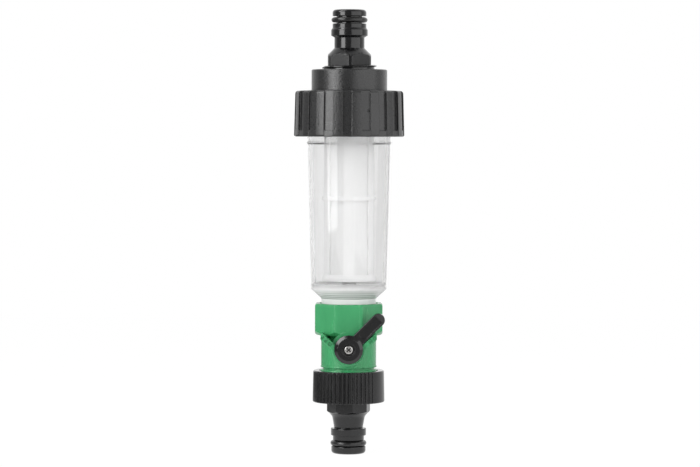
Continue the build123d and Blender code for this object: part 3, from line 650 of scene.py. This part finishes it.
# %% Make the faces of the hexagon matt
matt_black = grained(
    "matt_black_faces", **nut_black, low=0.5, high=0.62, size=0.5 * MM, depth=0.1 * MM, ior=1.5
)
nipple.data.materials.append(matt_black)
hexagon_low, hexagon_high = head_top + 1.8 * MM, head_top + 7.2 * MM
between_faces, first_face = 60.0, -57.5
matt_faces = 0
for face in nipple.data.polygons:
    off_face = (degrees(atan2(face.normal.y, face.normal.x)) - first_face) % between_faces
    aligned = min(off_face, between_faces - off_face) < 1.0
    if abs(face.normal.z) < 0.02 and aligned and hexagon_low < face.center.z < hexagon_high:
        face.material_index = 1
        matt_faces += 1
print("matt faces:", matt_faces)

# %% [markdown]
# ## Lever with a flat hub
# The hub's front is a flat disc inside a wide bevel, and the arm ends in a thumb pad that falls
# back a little. Both are turned or cut in the lever's own frame, whose first axis runs along the
# arm. A spun outline makes what is round, and a slab between two slopes what is flat. The outlines
# are in millimetres, and heights count from the hub's face.

# %% Helpers in the lever's own frame
lever_front = -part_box("lever")[0].y
slant = radians(45.0)
arm_frame = Matrix((
    (cos(slant), -sin(slant), 0.0, 0.0),
    (0.0, 0.0, -1.0, 0.0),
    (sin(slant), cos(slant), 0.0, valve_axis),
    (0.0, 0.0, 0.0, 1.0),
))
face_mm = lever_front / MM


def in_metres(name, shape):
    bmesh.ops.recalc_face_normals(shape, faces=shape.faces)
    mesh = bpy.data.meshes.new(name)
    shape.to_mesh(mesh)
    shape.free()
    mesh.transform(Matrix.Scale(MM, 4))
    return mesh


def turned_mesh(name, outline, steps=28):
    shape = bmesh.new()
    points = [shape.verts.new((radius, 0.0, height)) for radius, height in outline]
    edges = [shape.edges.new(pair) for pair in zip(points, points[1:])]
    bmesh.ops.spin(shape, geom=points + edges, axis=(0, 0, 1), cent=(0, 0, 0), angle=2 * pi, steps=steps)
    bmesh.ops.remove_doubles(shape, verts=shape.verts, dist=0.001)
    return in_metres(name, shape)


def slab(name, plan, low, high):
    shape = bmesh.new()
    foot = [shape.verts.new((u, v, low(u))) for u, v in plan]
    roof = [shape.verts.new((u, v, high(u))) for u, v in plan]
    shape.faces.new(foot)
    shape.faces.new(roof)
    for index in range(len(plan)):
        after = (index + 1) % len(plan)
        shape.faces.new((foot[index], foot[after], roof[after], roof[index]))
    return in_metres(name, shape)


def in_arm_frame(name, mesh):
    mesh.transform(arm_frame)
    return link_new(name, mesh)


print("hub's face stands mm before the axis:", round(face_mm, 2))

# %% [markdown]
# A bevelled ring is joined on round the screw's well, a half disc fills the end of the channel, and
# a wedge trims the pad. Exact booleans do both, so that no walls are left inside the lever. Then
# its edges are rounded like the nipple's.

# %% Shape the hub and the thumb pad
def joined(base, extra, name, operation="UNION"):
    union = base.modifiers.new("join", "BOOLEAN")
    union.operation, union.solver, union.object = operation, "EXACT", extra
    mesh = made_mesh(base, name)
    bpy.data.objects.remove(extra)
    return link_new(name, tidy_mesh(mesh))


ring_inner, ring_outer, ring_foot, ring_face = 3.3, 6.84, -1.8, -0.01
ring_outline = [
    (ring_inner, ring_foot), (ring_outer, ring_foot), (ring_outer, -1.35), (5.35, ring_face),
    (ring_inner, ring_face), (ring_inner, ring_foot),
]
ring_mesh = turned_mesh("hub_ring", [(r, face_mm + h) for r, h in ring_outline], 64)
hub_ring = in_arm_frame("hub_ring", ring_mesh)
pad_start, pad_middle, pad_radius, pad_half = 20.3, 19.9, 2.6, 2.4
pad_floor, pad_top = face_mm - 2.6, face_mm - 1.45
half_disc = [(pad_start, -pad_half)] + [
    (pad_middle + pad_radius * cos(radians(a)), pad_radius * sin(radians(a))) for a in range(-70, 71, 10)
] + [(pad_start, pad_half)]
pad = in_arm_frame("thumb_pad", slab("thumb_pad", half_disc, lambda u: pad_floor, lambda u: pad_top))
wedge_end, wedge_half, wedge_drop, wedge_slope = 24.0, 4.0, 1.62, 0.17
beyond = [(pad_start, -wedge_half), (wedge_end, -wedge_half), (wedge_end, wedge_half), (pad_start, wedge_half)]
wedge = in_arm_frame("pad_wedge", slab(
    "pad_wedge", beyond, lambda u: face_mm - wedge_drop - wedge_slope * (u - pad_start), lambda u: face_mm + 1.0
))
shaped = joined(merged_copy(frame["nodes"]["lever"], "lever_copy"), hub_ring, "lever_with_ring")
shaped = joined(shaped, pad, "lever_with_pad")
shaped = rounded(joined(shaped, wedge, "lever_trimmed", "DIFFERENCE"), "shaped_lever", 0.18 * MM)
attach(shaped, "lever")
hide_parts("lever")
shaped_front = -min(v.co.y for v in shaped.data.vertices) / MM
print("lever faces:", len(shaped.data.polygons), "front mm:", round(shaped_front, 2), round(face_mm, 2))

# %% [markdown]
# ## ON and OFF
# Raised letters stand on the two arms of the stop fence, and are read with the filter upside
# down. A text object gives clean generic letters. It becomes a mesh first, and then each letter
# is set on the fence's front face, slightly sunk so that no gap shows below it. Each row gives a
# letter with its distances in millimetres from the valve's axis.

# %% Set the letters on the fence
letter_size, letter_rise, letter_sink = 2.45 * MM, 0.3 * MM, 0.08 * MM
letter_swell, letter_rounding = 0.04 * MM, 0.05 * MM
fence_front = 21.3 * MM
on_letters, on_turn = (("O", 12.3, 5.5), ("N", 10.4, 3.9)), 220.0
off_letters, off_turn = (("O", -8.9, 2.7), ("F", -10.7, 4.2), ("F", -12.5, 5.7)), 140.0
letters = []


def set_letter(sign, x, z, direction):
    text = bpy.data.curves.new("letter_" + sign, "FONT")
    text.body, text.size, text.extrude = sign, letter_size, letter_rise / 2
    text.align_x, text.align_y = "CENTER", "CENTER"
    text.offset, text.bevel_depth, text.bevel_resolution = letter_swell, letter_rounding, 2
    mesh = made_mesh(link_new("letter_maker", text), "letter_" + sign)
    outward = Matrix.Translation((x, -(fence_front + letter_rise / 2 - letter_sink), valve_axis + z))
    mesh.transform(outward @ Matrix.Rotation(radians(90), 4, "X") @ Matrix.Rotation(radians(direction), 4, "Z"))
    letters.append(mesh)


for row, direction in ((on_letters, on_turn), (off_letters, off_turn)):
    for sign, x, z in row:
        set_letter(sign, x * MM, z * MM, direction)


def combined(name, meshes, material):
    shape = bmesh.new()
    for mesh in meshes:
        shape.from_mesh(mesh)
        bpy.data.meshes.remove(mesh)
    whole = bpy.data.meshes.new(name)
    shape.to_mesh(whole)
    shape.free()
    whole.materials.append(material)
    return link_new(name, tidy_mesh(whole))


# The letters' green is darker than the fence's: painted shade that stands for the shadow round their raised
# strokes.
shaded_letter_green = skinned(
    "green_letters_painted_shade", dark=(0.024, 0.18, 0.068), light=(0.032, 0.22, 0.084), low=0.25, high=0.35, ior=1.49
)
lettering = combined("raised_letters", letters, shaded_letter_green)
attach(lettering, "housing")
front = -min(v.co.y for v in lettering.data.vertices) / MM
print("letters stand to mm:", round(front, 2), "faces:", len(lettering.data.polygons))

# %% [markdown]
# ## Gate mark
# The nut was filled through one small gate, whose stub stands in a recess right of the front. It
# is a turned shape a millimetre across: a flat ring with a broken nib in the middle. Spinning a
# short outline round its own axis makes it, and the result faces outwards from the nut.

# %% Turn the gate mark
gate_outline = [
    (0.0, -0.2), (0.75, -0.2), (0.75, 0.12), (0.62, 0.2), (0.42, 0.2), (0.3, 0.08), (0.18, 0.22), (0.0, 0.26),
]
gate = turned_mesh("nut_gate_mark", gate_outline)
gate_angle, gate_radius = radians(-69.0), 25.1 * MM
gate_height = nut_low.z + 12.3 * MM
gate.transform(
    Matrix.Translation((gate_radius * cos(gate_angle), gate_radius * sin(gate_angle), gate_height))
    @ Matrix.Rotation(gate_angle, 4, "Z") @ Matrix.Rotation(radians(90), 4, "Y")
)
gate.materials.append(finish["black_grained_plastic"])
gate_mark = link_new("nut_gate_mark", tidy_mesh(gate))
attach(gate_mark, "nut")
print("gate mark faces:", len(gate_mark.data.polygons))

# %% [markdown]
# ## Floor
# The photograph has a plain white ground. The floor is white for the camera and through the cup,
# apart from a small plain share that takes the shadow. In reflections it is white close to the
# filter and dims further out, more so on the left, as the sweep of paper did.

# %% Lay the floor
white = (1.0, 1.0, 1.0, 1.0)
paper_colour, glow_level, dim_level, glow_share = (0.86, 0.86, 0.86, 1.0), 1.05, 0.12, 0.93
white_to, dim_from = 0.1, 0.35
left_end, left_share, right_end, right_share = -0.2, 0.05, 0.2, 0.75
floor_half, floor_gap = 1.0, 0.02 * MM
corners = [(-1, -1), (1, -1), (1, 1), (-1, 1)]
sheet = bpy.data.meshes.new("floor")
floor_height = cad_low.z - floor_gap
sheet.from_pydata([(x * floor_half, y * floor_half, floor_height) for x, y in corners], [], [(0, 1, 2, 3)])
floor = link_new("floor", sheet)
paper = bpy.data.materials.new("white_paper")
paper.use_nodes = True
tree = paper.node_tree
tree.nodes.clear()
plain = add(tree, "ShaderNodeBsdfDiffuse", {"Color": paper_colour}).outputs[0]
glow = add(tree, "ShaderNodeEmission", {"Color": white, "Strength": glow_level}).outputs[0]
dim = add(tree, "ShaderNodeEmission", {"Color": white, "Strength": dim_level}).outputs[0]
place = add(tree, "ShaderNodeTexCoord").outputs["Object"]
apart = add(tree, "ShaderNodeVectorMath", {0: place}, operation="LENGTH").outputs["Value"]
across = add(tree, "ShaderNodeSeparateXYZ", {"Vector": place}).outputs["X"]
side = mapped(tree, across, left_end, right_end, left_share, right_share)
near = mapped(tree, apart, white_to, dim_from, 1.0, side)
mirrored = add(tree, "ShaderNodeMixShader", {0: near, 1: dim, 2: glow}).outputs[0]
path = add(tree, "ShaderNodeLightPath").outputs
seen = maths(tree, "MAXIMUM", path["Is Camera Ray"], path["Is Transmission Ray"])
share = maths(tree, "MULTIPLY", seen, glow_share)
direct = add(tree, "ShaderNodeMixShader", {0: share, 1: plain, 2: glow}).outputs[0]
blend = add(tree, "ShaderNodeMixShader", {0: path["Is Glossy Ray"], 1: direct, 2: mirrored})
add(tree, "ShaderNodeOutputMaterial", {"Surface": blend.outputs[0]})
floor.data.materials.append(paper)
print("floor mm below the filter:", round((cad_low.z - floor_height) / MM, 3))

# %% [markdown]
# ## Light
# A product studio on white: a tall softbox to the left of the camera, a big white card to the
# right, and a darker gap between them where the camera stands. Round black parts show that room
# as upright bands, so the world's colour depends on direction for reflections and for the clear
# cup, and is one even level for everything else. The lamps are hidden from light that bends
# through the cup, where their clear-cut shapes would show, so the room seen through the cup is
# brightest in front, where they stand. A bearing of 0 is towards the camera, and 90 is right.

# %% Paint the studio round the filter
world = bpy.data.worlds.new("studio")
bpy.context.scene.world = world
world.use_nodes = True
tree = world.node_tree
tree.nodes.clear()
outlook = add(tree, "ShaderNodeTexCoord").outputs["Generated"]
direction = add(tree, "ShaderNodeSeparateXYZ", {"Vector": outlook}).outputs
towards = maths(tree, "MULTIPLY", direction["Y"], -1.0)
bearing = maths(tree, "ARCTAN2", direction["X"], towards)
round_room = mapped(tree, bearing, -pi, pi, 0.0, 1.0)
even_level = 0.3
reflected_room = [
    (-180, 1.2), (-131, 0.7), (-112, 0.6), (-107, 0.25), (-80, 0.3), (-28, 0.28), (8, 0.2),
    (20, 0.24), (75, 0.38), (100, 0.7), (124, 0.9), (145, 1.1), (180, 1.2),
]
bent_room = [
    (-180, 0.87), (-115, 0.9), (-70, 1.8), (-20, 2.3), (10, 2.3), (50, 2.2), (100, 0.95),
    (130, 0.76), (180, 0.74),
]


def room(stops):
    levels = ramp(tree, round_room, greys([((angle + 180.0) / 360.0, level) for angle, level in stops]))
    return add(tree, "ShaderNodeBackground", {"Color": levels, "Strength": 1.0}).outputs[0]


path = add(tree, "ShaderNodeLightPath").outputs
step = add(tree, "ShaderNodeBackground", {"Color": white, "Strength": even_level}).outputs[0]
backdrop = add(tree, "ShaderNodeBackground", {"Color": white, "Strength": 1.0}).outputs[0]
for ray, shown in (
    ("Is Glossy Ray", room(reflected_room)), ("Is Transmission Ray", room(bent_room)), ("Is Camera Ray", backdrop)
):
    step = add(tree, "ShaderNodeMixShader", {0: path[ray], 1: step, 2: shown}).outputs[0]
add(tree, "ShaderNodeOutputWorld", {"Surface": step})
print("room stops:", len(reflected_room), len(bent_room))

# %% [markdown]
# The softbox and the card are real area lights, so they also shape the matt surfaces. The softbox
# stands where its mirror image falls on the bright band left of centre on every upright black
# cylinder. The one overhead only draws highlights.

# %% Stand the lamps
lamp_sizes = {
    "softbox_left": {"angle": -48.5, "distance": 0.9, "height": 0.33, "wide": 0.53, "tall": 0.62, "watts": 5.3},
    "softbox_overhead": {"angle": -74.0, "distance": 0.62, "height": 0.8, "wide": 0.2, "tall": 1.1, "watts": 4.2},
    "white_card_right": {"angle": 51.0, "distance": 0.95, "height": 0.2, "wide": 1.45, "tall": 1.3, "watts": 7.8},
}
aim = Vector((0.0, 0.0, 0.1))


def area_light(name, angle, distance, height, wide, tall, watts):
    lamp = bpy.data.lights.new(name, "AREA")
    lamp.shape, lamp.size, lamp.size_y, lamp.energy = "RECTANGLE", wide, tall, watts
    stand = bpy.data.objects.new(name, lamp)
    bpy.context.scene.collection.objects.link(stand)
    stand.location = (distance * sin(radians(angle)), -distance * cos(radians(angle)), height)
    stand.rotation_euler = (aim - stand.location).to_track_quat("-Z", "Y").to_euler()
    stand.visible_camera = stand.visible_transmission = False
    return stand


lamps = {name: area_light(name, **sizes) for name, sizes in lamp_sizes.items()}
lamps["softbox_overhead"].visible_diffuse = False
print("lamps:", {name: [round(v, 2) for v in lamp.location] for name, lamp in lamps.items()})

# %% [markdown]
# ## Camera
# The filter was photographed from nearly level with its head through a long lens, so its
# cylinders show thin ellipses and hardly taper. Distance and height follow from those ellipses,
# and the lens from the size of the filter in the frame.

# %% Set up the camera
camera_place, lens_mm, degrees_down, degrees_rolled = (0.5 * MM, -1.38, 0.15605), 147.3, 2.07, 0.15
camera = bpy.data.objects.new("camera", bpy.data.cameras.new("camera"))
bpy.context.scene.collection.objects.link(camera)
camera.data.sensor_width, camera.data.lens = 36.0, lens_mm
camera.location = camera_place
camera.rotation_euler = Matrix.Rotation(radians(90.0 - degrees_down), 4, "X").to_euler()
camera.rotation_euler.rotate_axis("Z", radians(degrees_rolled))
camera.data.clip_start, camera.data.clip_end = 0.05, 60.0
bpy.context.scene.camera = camera
bpy.context.scene.view_settings.view_transform = "Standard"
print("camera mm:", [round(v / MM, 1) for v in camera.location])
